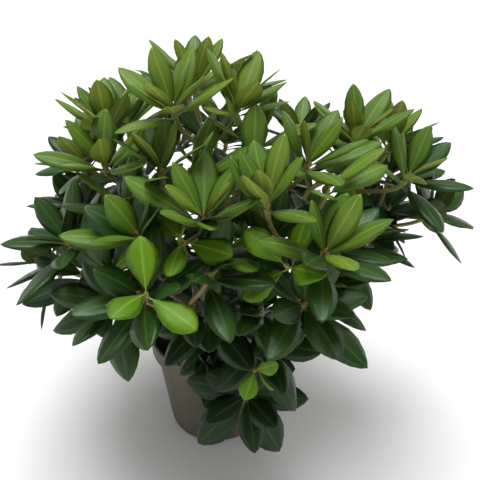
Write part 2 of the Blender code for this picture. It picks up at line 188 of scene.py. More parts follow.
def joinMeshes(shapes):
    # One shape from many: each one's faces are moved on by the points that came before it.
    points = []
    groups = {}
    offset = 0
    for shape, faces in shapes:
        points.append(shape)
        for group in faces:
            group = np.asarray(group)
            groups.setdefault(group.shape[1], []).append(group + offset)
        offset += len(shape)
    return np.concatenate(points), [np.concatenate(groups[size]) for size in sorted(groups)]


def gridFaces(rows, columns, closed=False):
    # Quads of a grid of points, row by row; a closed grid joins its last column to its first.
    row = np.arange(rows - 1)[:, None] * columns
    here = np.arange(columns if closed else columns - 1)[None, :]
    after = (here + 1) % columns
    corners = [row + here, row + after, row + columns + after, row + columns + here]
    return np.stack(corners, axis=-1).reshape(-1, 4)


def repeated(faces, count, size):
    # The faces again for each of many copies, which have this many points each.
    copies = np.asarray(faces) + size * np.arange(count)[:, None, None]
    return copies.reshape(-1, copies.shape[-1])


def circle(sides):
    # Angles of evenly spaced points round a ring.
    return np.arange(sides) * math.tau / sides


def unit(vector):
    return vector / np.linalg.norm(vector, axis=-1, keepdims=True)


def across(vector, axis):
    # The part of a vector at right angles to an axis, at unit length.
    return unit(vector - np.sum(vector * axis, axis=-1, keepdims=True) * axis)


def outwards(angle, up, side):
    return math.cos(angle) * up + math.sin(angle) * side


def curve(start, startWay, end, endWay, count):
    # A Hermite cubic whose two tangents are as long as the chord.
    t = np.linspace(0, 1, count)[:, None]
    span = np.linalg.norm(end - start)
    return (
        (2 * t**3 - 3 * t**2 + 1) * start
        + (t**3 - 2 * t**2 + t) * span * startWay
        + (3 * t**2 - 2 * t**3) * end
        + (t**3 - t**2) * span * endWay
    )


def onPath(path, share):
    # The point at a share of the path's steps, the way the path runs there and the step's number.
    where = share * (len(path) - 1)
    low = min(int(where), len(path) - 2)
    step = path[low + 1] - path[low]
    return path[low] + step * (where - low), unit(step), low


def endWay(path):
    return unit(path[-1] - path[-2])


def resample(path, count):
    # The path again with this many points, evenly spaced along its steps.
    share = np.linspace(0, 1, len(path))
    return np.stack([np.interp(np.linspace(0, 1, count), share, line) for line in path.T], axis=1)


firstSide = np.array([0.31, 0.95, 0.05])  # where a ring's first point lies; no limb starts this way


def sweep(path, radii, sides, first=None):
    # Rings carried along the path without twist: centre + radius (cos a side + sin a other).
    ways = np.gradient(path, axis=0)
    if first is not None:
        ways[0] = first
    ways = unit(ways)
    side = across(firstSide, ways[0])
    sideways = []
    for way in ways:
        side = across(side, way)
        sideways.append(side)
    sideways = np.array(sideways)[:, None]
    others = np.cross(ways[:, None], sideways)
    angle = circle(sides)[None, :, None]
    radii = np.asarray(radii, float).reshape(len(path), -1, 1)
    return path[:, None] + radii * (np.cos(angle) * sideways + np.sin(angle) * others)


def closeEnds(rings):
    # Quads between rings of points, and one flat face over the first ring and over the last.
    count, sides = rings.shape[:2]
    ring = np.arange(sides)
    ends = [[ring[::-1]], [ring + (count - 1) * sides]]
    return rings.reshape(-1, 3), [gridFaces(count, sides, True), *ends]


def limb(path, radii, sides, first=None):
    return closeEnds(sweep(path, radii, sides, first))


# The plant's rule, as the solids were grown by it

gap = 0.0003
upward = np.array([0.0, 0.0, 1.0])
leaning = np.array([0.2, 0.1, 1.0])  # a whorl's own upward, which no shoot points along
trunk = {
    "top": (0.014, 0.004, 0.330),
    "lean": (0.01, 0.0, 0.0),
    "radius": 0.0150,
    "tipRadius": 0.0105,
    "flare": 0.0090,
    "flareHeight": 0.011,
    "footHeight": 0.022,  # the stem stands upright below here
    "lobes": 5,
    "lobeDepth": 0.35,
    "steps": (0.0, 0.004, 0.009, 0.016),  # heights of the lowest rings
    "sides": 15,
    "rings": 10,
}
bough = {
    "sides": 6,
    "rings": 7,
    "mainRadius": 0.0082,
    "tipRadius": 0.0038,
    "forkShare": 0.76,  # a side bough's radius as a share of its parent's
    "taper": 0.92,  # least that a bough's tip is thinner than its foot
    "sideways": 0.85,  # how a bough sets off, from its parent and along it
    "onward": 0.55,
}
spray = {
    "shootRadius": 0.0034,
    "stemRadius": 0.0039,
    "whorlRadius": 0.0060,
    "budTip": 0.0023,
    "budLength": 0.013,
    "whorlLength": 0.014,
    "heart": (0.02, 0.0, 0.30),  # masses face away from here
    "lift": 0.35,
    "stem": 0.030,
    "fork": 0.072,
    "sink": 0.002,  # how far stem and shoots run into one another at the fork
    "spread": {1: 0.0, 2: 0.044, 3: 0.054},
    "spreadDrift": (0.88, 1.12),
    "turnDrift": 9,
    "depthDrift": 0.012,
    "lean": 0.55,  # how far a shoot leans out from its fork, at its tip and at its foot
    "startLean": 0.9,
    "heights": (0.40, 0.58),  # between these, shoots turn more upright
    "upright": (0.25, 1.8),
    "stemRings": 3,
    "shootRings": 4,
    "sides": 3,
}
whorlKinds = {  # leaves, usual length, width in lengths, bend, angles of the oldest and youngest
    # leaf from the shoot, both in degrees, how far low and high whorls open, and the most that a
    # leaf's tip may be from its mass's centre
    "tip": (10, 0.108, 0.35, 24, (84, 24), (1.08, 0.72), 1.0),
    "fork": (9, 0.098, 0.35, 30, (112, 60), (1.0, 1.0), 0.17),  # old leaves that stay inside
    "spur": (8, 0.092, 0.35, 24, (92, 38), (1.05, 0.80), 0.30),
    "young": (5, 0.086, 0.46, 34, (96, 42), (1.0, 1.0), 0.30),
}
habit = {  # what all leaves have in common
    "turn": math.radians(137.5),
    "turnDrift": 0.1,
    "angleDrift": 0.12,
    "leastAngle": 0.2,
    "oldLength": 1.04,
    "shorter": 0.22,  # what the youngest leaf of a whorl lacks in length
    "lengthDrift": (0.9, 1.08),
    "widthDrift": (0.92, 1.1),
    "bendDrift": (0.6, 1.5),
    "along": 0.8,  # share of the whorl's length that the roots take up
    "upperSide": (0.7, 0.3, 0.2),  # faces along the shoot, upward, and back to the shoot
    "root": 0.0022,
    "widest": 0.54,
    "thickness": 0.0026,
    "clearance": 0.0012,
    "fatThickness": 0.006,  # what must be free round a leaf
    "bladeThickness": 0.004,  # and among the leaves of its own whorl, from bladeStart on
    "bladeStart": 0.3,
    "tries": 7,
    "turnStep": 0.07,  # changes from try to try
    "riseStep": 0.09,
    "sizeStep": 0.03,
    "border": 0.02,  # how far a leaf may reach into the next mass's space
    "ground": 0.03,
}
# limb that the bough leaves and how far along; azimuth, reach and height of the mass;
# its shoots, the turn of the first one, and its seed
masses = {
    "top": ("trunk", 1.00, -94, 0.118, 0.677, 3, 30, 71),
    "left_high": ("trunk", 0.88, -137, 0.200, 0.620, 2, 60, 79),
    "left_low": ("trunk", 0.48, -109, 0.258, 0.472, 3, 30, 99),
    "front_low": ("trunk", 0.20, -81, 0.265, 0.392, 2, 60, 94),
    "right_top": ("trunk", 0.84, -16, 0.275, 0.582, 3, 30, 47),
    "right_mid": ("trunk", 0.64, -63, 0.275, 0.492, 3, 40, 37),
    "back_left_high": ("trunk", 0.72, 164, 0.180, 0.550, 3, -20, 62),
    "back_left_low": ("trunk", 0.28, 170, 0.240, 0.410, 3, 80, 86),
    "left_lowest": ("back_left_low", 0.40, -148, 0.252, 0.410, 2, 110, 11),
    "back_low": ("trunk", 0.24, 62, 0.250, 0.390, 3, 40, 3),
    "left_far": ("left_low", 0.72, -123, 0.270, 0.520, 3, -5, 31),
    "front": ("left_low", 0.72, -96, 0.320, 0.495, 2, 120, 87),
    "centre_left": ("front", 0.36, -100, 0.260, 0.570, 3, 20, 68),
    "centre_high": ("right_mid", 0.54, -84, 0.210, 0.610, 2, 110, 4),
    "right_shoulder": ("right_mid", 0.66, -60, 0.200, 0.618, 2, 35, 77),
    "centre_right": ("right_shoulder", 0.24, -65, 0.305, 0.570, 3, -50, 50),
    "right_far": ("right_top", 0.66, -2, 0.330, 0.480, 2, -10, 97),
    "front_right_low": ("right_mid", 0.60, -66, 0.270, 0.432, 2, 100, 63),
    "front_lowest": ("front_low", 0.42, -77, 0.244, 0.256, 1, 10, 50),
    "back_top": ("top", 0.18, 97, 0.120, 0.610, 3, -50, 4),
    "back_right_high": ("back_low", 0.54, 27, 0.235, 0.515, 3, 90, 25),
    "back": ("back_low", 0.70, 94, 0.255, 0.485, 3, 20, 1),
    "back_left": ("back_left_low", 0.48, 128, 0.270, 0.425, 2, -50, 54),
    "right_low": ("back_low", 0.18, 9, 0.300, 0.420, 2, 60, 34),
    "right_lowest": ("right_low", 0.40, -30, 0.255, 0.450, 2, 70, 46),
}
foliage = [f"foliage_{name}" for name in masses]


def placeOf(row):
    angle = math.radians(row[2])
    return np.array([row[3] * math.cos(angle), row[3] * math.sin(angle), row[4]])


centres = np.array([placeOf(row) for row in masses.values()])


class Room:
    # What later twigs and leaves keep clear of, each piece with the ball that bounds it.
    def __init__(self, start=None):
        self.trees = list(start.trees) if start else []
        self.centres = list(start.centres) if start else []
        self.reaches = list(start.reaches) if start else []

    def measure(self, points, groups):
        faces = [face for group in groups for face in np.asarray(group).tolist()]
        centre = points.mean(axis=0)
        reach = np.linalg.norm(points - centre, axis=1).max()
        return BVHTree.FromPolygons(points.tolist(), faces), centre, reach

    def add(self, points, groups):
        tree, centre, reach = self.measure(points, groups)
        self.trees.append(tree)
        self.centres.append(centre)
        self.reaches.append(reach)

    def isFree(self, points, groups):
        if not self.trees:
            return True
        tree, centre, reach = self.measure(points, groups)
        distance = np.linalg.norm(np.array(self.centres) - centre, axis=1)
        near = np.nonzero(distance < reach + np.array(self.reaches))[0]
        return not any(tree.overlap(self.trees[k]) for k in near)


def trunkPath():
    foot = np.array([0, 0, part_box("trunk")[0].z])
    top = np.array(trunk["top"])
    return curve(foot, upward, top, unit(top - foot + np.array(trunk["lean"])), trunk["rings"])


def trunkRadii(rise, sides):
    # An even taper, and a lobed flare that dies away as exp(-rise / flareHeight).
    radii = trunk["radius"] + (trunk["tipRadius"] - trunk["radius"]) * rise / rise[-1]
    flare = trunk["flare"] * np.exp(-rise / trunk["flareHeight"])
    depth = trunk["lobeDepth"]
    lobes = (1 - depth) + depth * np.cos(trunk["lobes"] * circle(sides))
    return radii[:, None] + flare[:, None] * lobes


def trunkHull():
    # The trunk as its solid has it, on a level foot.
    path = trunkPath()
    rise = path[:, 2] - path[0, 2]
    feet = [[0, 0, path[0, 2] + step] for step in trunk["steps"]]
    path = np.concatenate([feet, path[rise > trunk["footHeight"]]])
    radii = trunkRadii(path[:, 2] - path[0, 2], trunk["sides"])
    rings = sweep(path, radii, trunk["sides"])
    rings[0, :, 2] = path[0, 2]
    return closeEnds(rings)


def massFrame(row):
    # Centre of the mass and the three directions of its space: outward, up and sideways.
    centre = placeOf(row)
    axis = unit(unit(centre - np.array(spray["heart"])) + spray["lift"] * upward)
    up = across(upward, axis)
    return centre, axis, up, np.cross(axis, up)


def boughPath(row, parent):
    # A limb that leaves its parent's axis sideways, or goes on from its tip, and faces its mass.
    centre, axis = massFrame(row)[:2]
    end = centre - (spray["fork"] + spray["stem"]) * axis
    start, along = onPath(parent, row[1])[:2]
    if row[1] == 1:
        return curve(start + gap * along, along, end, axis, bough["rings"])
    way = unit(bough["sideways"] * across(end - start, along) + bough["onward"] * along)
    return curve(start, way, end, axis, bough["rings"])


def layLimbs():
    # Paths and radii of the trunk and of every bough, each after the limb that it leaves.
    path = trunkPath()
    share = (path[:, 2] - path[0, 2]) / np.ptp(path[:, 2])
    limbs = {"trunk": (path, trunk["radius"] + (trunk["tipRadius"] - trunk["radius"]) * share)}
    for name, row in masses.items():
        parentPath, parentRadii = limbs[row[0]]
        here = np.interp(row[1], np.linspace(0, 1, len(parentRadii)), parentRadii)
        base = bough["mainRadius"] if row[0] == "trunk" else bough["forkShare"] * here
        radii = np.linspace(base, min(bough["tipRadius"], bough["taper"] * base), bough["rings"])
        limbs[name] = (boughPath(row, parentPath), radii)
    return limbs


def layTwigs(row, path, rng):
    # One stem leaves the bough's tip and forks into shoots, each of which ends in a whorl.
    centre, axis, up, side = massFrame(row)
    shoots = row[5]
    fork = centre - spray["fork"] * axis
    sink = spray["sink"] * axis
    heading = endWay(path)
    stem = curve(path[-1] + gap * heading, heading, fork + sink, axis, spray["stemRings"])
    whorls = []
    for k in range(shoots):
        drift = rng.uniform(-spray["turnDrift"], spray["turnDrift"])
        outward = outwards(math.radians(row[6] + drift) + math.tau * k / shoots, up, side)
        spread = spray["spread"][shoots] * rng.uniform(*spray["spreadDrift"])
        depth = rng.uniform(-spray["depthDrift"], spray["depthDrift"])
        end = centre + spread * outward + depth * axis
        upright = np.interp(end[2], spray["heights"], spray["upright"])
        facing = unit(axis + spray["lean"] * outward * (shoots > 1) + upright * upward)
        way = unit(axis + spray["startLean"] * outward * (shoots > 1))
        line = curve(fork - sink, way, end, facing, spray["shootRings"])
        whorls.append({"path": line, "way": way, "end": end, "facing": facing})
    return stem, whorls


def shootTube(whorl):
    # The shoot of the solids: a thin tube that swells at the whorl and ends in a blunt bud.
    path, facing = whorl["path"], whorl["facing"]
    half = spray["whorlLength"] / 2 * facing
    tip = [path[-1] - half, path[-1] + half + spray["budLength"] * facing]
    radii = [spray["shootRadius"]] * (len(path) - 1) + [spray["whorlRadius"], spray["budTip"]]
    return limb(np.concatenate([path[:-1], tip]), radii, spray["sides"])


def leafSolid(root, forward, normal, length, width, bend, thickness, start=0.0):
    # The plain leaf of the solids: a kite on a circular arc, with a ridge at its widest place.
    side = np.cross(forward, normal)

    def line(u):
        along = math.sin(bend * u) * forward - (1 - math.cos(bend * u)) * normal
        return root + length / bend * along

    widest = line(habit["widest"])
    half = width / 2 * side
    ridge = widest + thickness * normal
    points = np.array([line(start), widest + half, line(1), widest - half, ridge])
    return points, [[(0, 1, 4), (1, 2, 4), (2, 3, 4), (3, 0, 4), (0, 3, 1), (1, 3, 2)]]


def plainLeaf(item):
    return leafSolid(*item[:6], habit["thickness"])


def growLeaves(facing, end, rng, room, own, kind, *special):
    # Leaves spiral by the golden angle, from wide old ones to steep young ones. One that meets
    # something is raised and turned a little, and left out if that doesn't free it. A special
    # count and length take the place of the kind's own.
    count, usual, slimness, bends, angles, openings, reach = whorlKinds[kind]
    count, usual = special or (count, usual)
    oldest, youngest = np.radians(angles).tolist()
    up = across(leaning, facing)
    side = np.cross(facing, up)
    opening = np.interp(end[2], spray["heights"], openings)
    first = rng.uniform(0, math.tau)
    ahead, upper, back = habit["upperSide"]
    leaves = []
    blades = Room()
    for k in range(count):
        share = k / (count - 1)
        turn = first + k * habit["turn"] + rng.uniform(-habit["turnDrift"], habit["turnDrift"])
        angle = oldest + (youngest - oldest) * share
        angle = opening * angle + rng.uniform(-habit["angleDrift"], habit["angleDrift"])
        length = usual * (habit["oldLength"] - habit["shorter"] * share)
        length = length * rng.uniform(*habit["lengthDrift"])
        width = slimness * length * rng.uniform(*habit["widthDrift"])
        bend = math.radians(bends) * opening * rng.uniform(*habit["bendDrift"])
        height = spray["whorlLength"] * (share - 0.5) * habit["along"]
        for attempt in range(habit["tries"]):
            shift = attempt * (-1) ** attempt * habit["turnStep"]
            rise = max(angle - habit["riseStep"] * attempt, habit["leastAngle"])
            outward = outwards(turn + shift, up, side)
            forward = math.sin(rise) * outward + math.cos(rise) * facing
            normal = across(ahead * facing + upper * upward - back * outward, forward)
            root = end + height * facing - habit["root"] * outward
            size = length * (1 - habit["sizeStep"] * attempt)
            line = (root, forward, normal, size)
            fat = leafSolid(*line, width + habit["clearance"] * 2, bend, habit["fatThickness"])
            blade = leafSolid(*line, width, bend, habit["bladeThickness"], habit["bladeStart"])
            distances = np.linalg.norm(centres - fat[0][:4].mean(axis=0), axis=1)
            if distances[own] > distances.min() + habit["border"]:
                continue
            if fat[0][:, 2].min() < habit["ground"]:
                continue
            if np.linalg.norm(fat[0][2] - centres[own]) > reach:
                continue
            if room.isFree(*fat) and blades.isFree(*blade):
                blades.add(*blade)
                leaves.append((*line, width, bend, share))
                break
    return leaves


# Growing the whole crown

spur = {  # short side twigs along the boughs, with smaller leaves
    "places": (0.34, 0.50, 0.66, 0.80, 0.93),
    "long": 0.040,
    "start": 1.3,  # where the test of a twig starts, in radii of its bough
    "onward": 0.5,
    "upward": 0.3,
    "radius": 0.0022,
    "fewest": 2,
    "seed": 500,
}
# young growth: mass that it grows in, its place, the leaf's usual length and how many leaves
limeSprays = {
    "left": ("front", (-0.064, -0.370, 0.522), 0.088, 5),
    "middle": ("centre_left", (-0.023, -0.295, 0.554), 0.086, 5),
    "centre": ("front", (0.025, -0.287, 0.527), 0.078, 5),
    "right": ("centre_right", (0.107, -0.328, 0.537), 0.086, 4),
    "low": ("front_low", (0.066, -0.322, 0.372), 0.052, 4),
}
lime = {"upward": 0.6, "seed": 900}
# The kinds run from dark to light green. Besides the leaves' own green, they carry painted shade on
# low and inner leaves and painted light on high and outer ones.
kinds = {  # lowest score of a leaf in each kind
    "deep": -9.0,
    "dark": 0.41,
    "mid": 0.575,
    "light": 0.66,
}
# Height and reach out add painted light, and being inside takes it away as painted shade; youth
# adds the young leaves' own paler green.
score = {  # what place and age add to a leaf's score
    "middle": (0.02, 0.0),  # where the crown's axis stands
    "usualHeight": 0.58,
    "height": 1.25,
    "usualOut": 0.25,
    "out": 0.34,
    "young": 0.07,
    "drift": 0.05,
    "inside": 0.18,
    "seed": 46,
}


def kindOf(point, share, rng, inside):
    # Score = height, weighed up from the usual one, + out + youth + a seeded share - inside.
    # Height, out and inside pick lighter kinds for high, outer leaves and darker kinds for low,
    # inner ones: painted light and shade.
    out = math.hypot(point[0] - score["middle"][0], point[1] - score["middle"][1])
    total = score["usualHeight"] + score["height"] * (point[2] - score["usualHeight"])
    total += score["out"] * (out - score["usualOut"]) + score["young"] * share
    total += rng.uniform(-score["drift"], score["drift"]) - score["inside"] * inside
    return [kind for kind, lowest in kinds.items() if total >= lowest][-1]


def nodeShape(name):
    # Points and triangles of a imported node.
    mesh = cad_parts[name].data
    points = np.empty(3 * len(mesh.vertices), np.float32)
    corners = np.empty(len(mesh.loops), np.int32)
    mesh.vertices.foreach_get("co", points)
    mesh.loops.foreach_get("vertex_index", corners)
    return points.reshape(-1, 3).astype(float), [corners.reshape(-1, 3)]


def growCrown():
    # The solids' own leaves: all limbs and twigs are laid first, then leaves fill what is free.
    limbs = layLimbs()
    room = Room()
    room.add(*trunkHull())
    for name, row in masses.items():
        heading = endWay(limbs[row[0]][0]) if row[1] == 1 else None
        room.add(*limb(*limbs[name], bough["sides"], heading))
    for name in ("pot", "soil"):
        room.add(*nodeShape(name))
    whorls = {}
    twigs = {}
    draws = {}
    for name, row in masses.items():
        draws[name] = random.Random(row[7])
        path, radii = limbs[name]
        stem, whorls[name] = layTwigs(row, path, draws[name])
        stemRadii = [radii[-1], radii[-1], spray["stemRadius"]]
        stemTube = limb(stem, stemRadii, spray["sides"], endWay(path))
        twigs[name] = [stemTube] + [shootTube(whorl) for whorl in whorls[name]]
    leaves = {kind: [] for kind in (*kinds, "lime")}
    for own, name in enumerate(masses):
        for number, whorl in enumerate(whorls[name]):
            around = Room(room)
            for other, shapes in twigs.items():
                for index, shape in enumerate(shapes):
                    if (other, index) != (name, number + 1):
                        around.add(*shape)
            tint = random.Random(score["seed"] + number)
            end = whorl["end"]
            for item in growLeaves(whorl["facing"], end, draws[name], around, own, "tip"):
                room.add(*plainLeaf(item))
                leaves[kindOf(end, item[6], tint, 0)].append(item)
    print("leaves by the rule:", sum(len(found) for found in leaves.values()))
    for shapes in twigs.values():
        for shape in shapes:
            room.add(*shape)
    return limbs, whorls, leaves, room


def addLime(whorls, leaves, room):
    # Each young shoot leaves the nearest point of its mass's shoots and carries a few big leaves.
    twigs = []
    for number, (mass, place, length, count) in enumerate(limeSprays.values()):
        lines = [
            curve(whorl["path"][0], whorl["way"], whorl["end"], whorl["facing"], 8)[1:6]
            for whorl in whorls[mass]
        ]
        points = np.concatenate(lines)
        end = np.array(place)
        start = points[np.argmin(np.linalg.norm(points - end, axis=1))]
        way = unit(unit(end - start) + lime["upward"] * upward)
        own = list(masses).index(mass)
        rng = random.Random(lime["seed"] + number)
        grown = growLeaves(way, end, rng, room, own, "young", count, length)
        for item in grown:
            room.add(*plainLeaf(item))
            leaves["lime"].append(item)
        twigs.append((start, end, way))
        print("young leaves:", mass, len(grown))
    return twigs


def addInner(limbs, leaves, room):
    # Old leaves round each fork, then spurs on the outer two thirds of each bough.
    found = {kind: 0 for kind in kinds}
    twigs = []
    for own, (name, row) in enumerate(masses.items()):
        rng = random.Random(row[7] + spur["seed"])
        centre, axis = massFrame(row)[:2]
        grown = growLeaves(axis, centre - spray["fork"] * axis, rng, room, own, "fork")
        path, radii = limbs[name]
        for share in spur["places"]:
            start, along, low = onPath(path, share)
            up = across(upward, along)
            out = outwards(rng.uniform(0, math.tau), up, np.cross(along, up))
            way = unit(out + spur["onward"] * along + spur["upward"] * upward)
            end = start + (spur["long"] + radii[low]) * way
            line = np.array([start + spur["start"] * radii[low] * way, end])
            twig = limb(line, [spur["radius"]] * 2, 4)
            if not room.isFree(*twig):
                continue
            sprig = growLeaves(way, end, rng, room, own, "spur")
            if len(sprig) >= spur["fewest"]:
                twigs.append((start, end, way))
                room.add(*twig)
                grown += sprig
        for item in grown:
            room.add(*plainLeaf(item))
            kind = kindOf(item[0], item[6], rng, 1)
            leaves[kind].append(item)
            found[kind] += 1
    print("inner leaves:", found)
    return twigs


# Leaves as the eye sees them

blade = {
    "rows": 7,
    "columns": (-1, -0.55, 0, 0.55, 1),  # from edge to edge
    "evenness": 0.25,  # 1 spaces the rows evenly, 0 crowds them at the ends
    "stalk": 0.13,  # share of a leaf's length that is its stalk
    "fullness": 0.72,  # power of the outline; a smaller one is fuller
    "widest": {"usual": 0.54, "lime": 0.60},
    "heights": (0.36, 0.60),  # real width as a share of the plain leaf's, low and high
    "slimness": (1.30, 1.00),
    "fold": 0.20,
    "roll": 0.34,
    "twist": 0.45,
    "twistStart": 0.3,
    "waves": {"usual": 0.05, "lime": 0.16},
    "leastWave": 0.3,
    "waveRate": 9.0,
    "waveLag": 1.3,  # between the two edges
    "body": 0.0008,  # thickness at the middle
    "stalkRadius": 0.0017,
    "ribRadius": 0.0007,
    "ribTip": 0.0002,
    "ribPlaces": (0.3, 0.52, 0.74, 0.92),
    "thickEnd": 0.6,  # of the stalk's length
    "thinStart": 0.08,  # past the stalk's end
    "sizes": (0.45, 1.1),  # least and most that a stalk's thickness follows its leaf's length
    "seed": 20,
}
# The undersides of the mid and light kinds are painted pale: painted light that stands for light
# shining through the leaf into its shade.
leafLooks = {  # upper side in the light and in the shade, underside, roughness and sheen
    "deep": ((0.007, 0.029, 0.0024), (0.003, 0.016, 0.0014), (0.034, 0.066, 0.014), 0.44, 0.32),
    "dark": ((0.019, 0.060, 0.0050), (0.010, 0.037, 0.0034), (0.074, 0.118, 0.024), 0.38, 0.42),
    "mid": ((0.094, 0.180, 0.0160), (0.066, 0.138, 0.0110), (0.300, 0.385, 0.062), 0.40, 0.32),
    "light": ((0.132, 0.216, 0.0200), (0.096, 0.172, 0.0140), (0.350, 0.430, 0.078), 0.40, 0.32),
    "lime": ((0.098, 0.205, 0.0030), (0.068, 0.158, 0.0025), (0.150, 0.260, 0.014), 0.44, 0.26),
}
leafFinish = {  # widths run from 0 at the midrib to 0.5 at the edge
    "sheenTint": (0.82, 1.0, 0.82),
    "ribWidth": 0.10,
    "ribShare": 0.55,
    "rimStart": 0.40,
    "rimShare": 0.6,
    "underWidth": 0.09,
    "underShare": 0.7,
    "underShade": 0.72,
    "veins": 75.0,
    "veinSlant": 0.8,
    "veinDepth": 0.16,
    "depth": 0.0005,
    "relief": 0.4,
    "dull": (-0.05, 0.08),  # how the roughness varies
    "paler": (1.5, 0.012),  # times the colour, and more
}
# The dark stalks go with the low and inner leaf kinds, so their darkness is painted shade.
stalkColours = {  # leaf stalks and midribs, pale on the young and high leaves
    "pale": ((0.190, 0.250, 0.060), (0.290, 0.345, 0.110)),
    "dark": ((0.050, 0.086, 0.020), (0.100, 0.145, 0.040)),
}


def paler(colour):
    times, more = leafFinish["paler"]
    return tuple(value * times + more for value in colour)


def leafPaint(kind):
    # Glossy upper side with a paler rim and midrib; the colour drifts a little from spray to
    # spray, and side veins sin(rate (along - slant |across|)) dent it.
    top, shade, under, gloss, sheen = leafLooks[kind]
    finish = leafFinish
    tint = finish["sheenTint"]
    paint = Paint(f"leaf_{kind}", Specular_IOR_Level=sheen, Specular_Tint=tint)
    drift = paint.band(paint.noise(paint.place(), 14.0), 0.3, 0.7)
    flat = paint.blend(drift, shade, top)
    width = abs(paint.own("X") - 0.5)
    rim = paint.band(width, finish["rimStart"], 0.5, 0.0, finish["rimShare"])
    edged = paint.blend(rim, flat, paler(top))
    rib = paint.band(width, 0.0, finish["ribWidth"], finish["ribShare"], 0.0)
    colour = paint.blend(rib, edged, paler(top))
    slanted = paint.own("Y") - width * finish["veinSlant"]
    veins = (slanted * finish["veins"]).sine()
    blotch = paint.noise(paint.place(), 90.0)
    height = veins * finish["veinDepth"] + blotch
    normal = paint.bump(height, finish["depth"], finish["relief"])
    rough = paint.band(blotch, 0.2, 0.8, *(gloss + change for change in finish["dull"]))
    return paint.finish(Base_Color=colour, Roughness=rough, Normal=normal)


def undersidePaint(kind):
    # Matt and olive, with a pale line under the midrib.
    finish = leafFinish
    # The pale base of the mid and light kinds is painted light shining through the leaf.
    base = leafLooks[kind][2]
    paint = Paint(f"underside_{kind}", Roughness=0.66, Specular_IOR_Level=0.2)
    drift = paint.noise(paint.place(), 40.0, 3.0)
    flat = paint.blend(drift, tuple(finish["underShade"] * value for value in base), base)
    width = abs(paint.own("X") - 0.5)
    rib = paint.band(width, 0.0, finish["underWidth"], finish["underShare"], 0.0)
    normal = paint.bump(drift, finish["depth"], finish["relief"])
    return paint.finish(Base_Color=paint.blend(rib, flat, paler(base)), Normal=normal)


def ribPaint(kind):
    paint = Paint(f"leaf_stalk_{kind}", Roughness=0.5)
    drift = paint.noise(paint.place(), 30.0)
    return paint.finish(Base_Color=paint.blend(drift, *stalkColours[kind]))


def midline(item, u):
    # root + length / bend (sin(bend u) forward - (1 - cos(bend u)) normal), and its frame there.
    turn = item["bend"] * u
    along = np.sin(turn) * item["forward"] - (1 - np.cos(turn)) * item["normal"]
    line = item["root"] + item["length"] / item["bend"] * along
    rise = np.sin(turn) * item["forward"] + np.cos(turn) * item["normal"]
    side = np.cross(item["forward"], item["normal"])
    roll = item["twist"] * (u - blade["twistStart"])
    cos, sin = np.cos(roll), np.sin(roll)
    return line, cos * side + sin * rise, cos * rise - sin * side


def asArrays(leaves, seed, waves, twist):
    # One array for each measure, shaped (leaf, row, column, 3), with a seeded twist and wave.
    drawn = np.random.default_rng(seed)
    each = (len(leaves), 1, 1, 1)
    found = {}
    for k, name in enumerate(("root", "forward", "normal", "length", "width", "bend")):
        found[name] = np.array([item[k] for item in leaves], float).reshape(len(leaves), 1, 1, -1)
    high = found["root"][..., 2:]
    found["width"] = found["width"] * np.interp(high, blade["heights"], blade["slimness"])
    found["twist"] = drawn.uniform(-twist, twist, each)
    found["wave"] = drawn.uniform(blade["leastWave"], 1.0, each) * waves
    found["phase"] = drawn.uniform(0, math.tau, each)
    return found


def bladeMesh(item, widest, rows):
    # Point (s, v) = midline + v h side + h lift rise, where h is half the width times
    # sin(pi s^a)^fullness, and lift is fold |v| - roll |v|^3 and a wave along the rim.
    even = blade["evenness"]
    step = np.linspace(0, 1, rows + 2)
    s = (even * step + (1 - even) / 2 * (1 - np.cos(math.pi * step)))[None, :, None, None]
    v = np.array(blade["columns"])[None, None, :, None]
    line, side, rise = midline(item, blade["stalk"] + (1 - blade["stalk"]) * s)
    power = math.log(0.5) / math.log(widest)
    outline = np.sin(math.pi * np.clip(s**power, 0, 1)) ** blade["fullness"]
    half = 0.5 * item["width"] * outline
    turns = blade["waveRate"] * s + item["phase"] + blade["waveLag"] * np.sign(v)
    ripple = item["wave"] * np.sin(turns) * v**2
    lift = blade["fold"] * np.abs(v) - blade["roll"] * np.abs(v) ** 3 + ripple
    top = line + half * (v * side + lift * rise)
    under = top - blade["body"] * rise * np.sin(math.pi * s) ** 0.5
    points = leafPoints(top, under)
    place = np.broadcast_to((v + 1) / 2, (1, rows + 2, v.size, 1))
    own = np.concatenate([place, np.broadcast_to(s, place.shape)], axis=-1)
    faces, slots = bladeFaces(rows, v.size)
    faces = [repeated(group, *points.shape[:2]) for group in faces]
    slots = np.concatenate([np.tile(group, len(top)) for group in slots])
    return points.reshape(-1, 3), faces, slots, np.tile(leafPoints(own, own)[0], (len(top), 1))


def leafPoints(top, under):
    # Each leaf's points in order: foot, upper sheet, tip and the lower sheet between the edges.
    count, middle, size = len(top), top.shape[2] // 2, top.shape[-1]
    foot, tip = top[:, 0, middle, None], top[:, -1, middle, None]
    upper = top[:, 1:-1].reshape(count, -1, size)
    lower = under[:, 1:-1, 1:-1].reshape(count, -1, size)
    return np.concatenate([foot, upper, tip, lower], axis=1)


def bladeFaces(rows, columns):
    # Quads and end triangles of the two sheets, which share their edges, and their paint slots.
    tip = 1 + rows * columns
    upper = 1 + np.arange(rows * columns).reshape(rows, columns)
    lower = upper.copy()
    lower[:, 1:-1] = tip + 1 + np.arange(rows * (columns - 2)).reshape(rows, -1)
    flat = []
    ends = []
    for sheet, way in ((upper, 1), (lower, -1)):
        corners = [sheet[:-1, 1:], sheet[1:, 1:], sheet[1:, :-1]]  # both sheets split alike
        flat.append(np.stack([sheet[:-1, :-1], *corners[::way]], axis=-1).reshape(-1, 4))
        foot = [np.zeros(columns - 1, int), sheet[0, 1:], sheet[0, :-1]]
        head = [sheet[-1, :-1], sheet[-1, 1:], np.full(columns - 1, tip)]
        ends.append(np.concatenate([np.stack(foot[::way], -1), np.stack(head[::way], -1)]))
    slots = [np.repeat([0, 1], len(group[0])) for group in (flat, ends)]
    return [np.concatenate(flat), np.concatenate(ends)], slots


